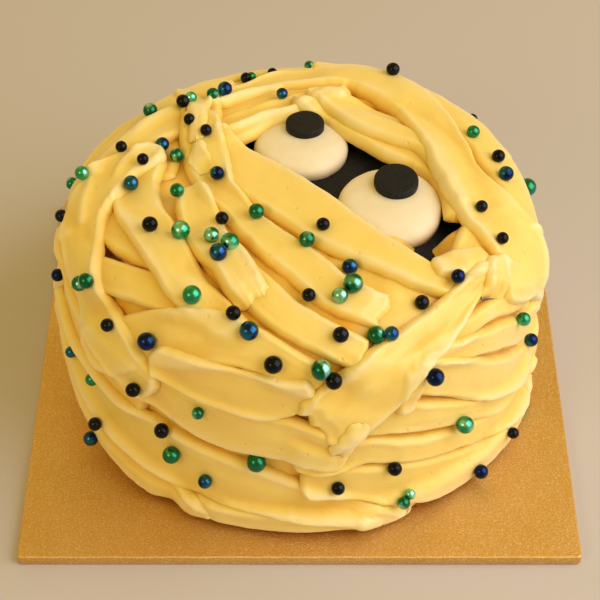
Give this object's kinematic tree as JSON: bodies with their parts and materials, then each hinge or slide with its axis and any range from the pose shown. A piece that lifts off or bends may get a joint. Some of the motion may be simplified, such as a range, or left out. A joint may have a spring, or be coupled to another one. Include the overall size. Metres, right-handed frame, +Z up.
{
  "type": "ribbon cake",
  "caption": "Round cake wrapped in piped icing ribbons, with sugar eyes looking out of a gap and sugar pearls scattered over it, on a square gold board.",
  "frame": {"origin": "centre of the board's underside", "axes": "+Z up, the cake's front towards -Y, +X to the right seen from the front"},
  "size_m": [0.25, 0.25, 0.1298],
  "materials": {
    "icing": "soft satin butter icing, pale yellow",
    "gold_card": "gold foil with a fine embossed grain, on card",
    "black_icing": "matt black sugar icing, faintly speckled",
    "ivory_sugar": "smooth ivory sugar paste, soft sheen",
    "pearl_black": "glossy black sugar pearl",
    "pearl_blue": "pearly royal blue sugar pearl",
    "pearl_green": "pearly emerald green sugar pearl"
  },
  "bodies": {
    "root": {"cake_board": "gold_card", "cake_core": "black_icing", "eye_left": "ivory_sugar", "eye_right": "ivory_sugar", "pupil_left": "black_icing", "pupil_right": "black_icing", "icing_ribbons": "icing"}
  },
  "joints": []
}
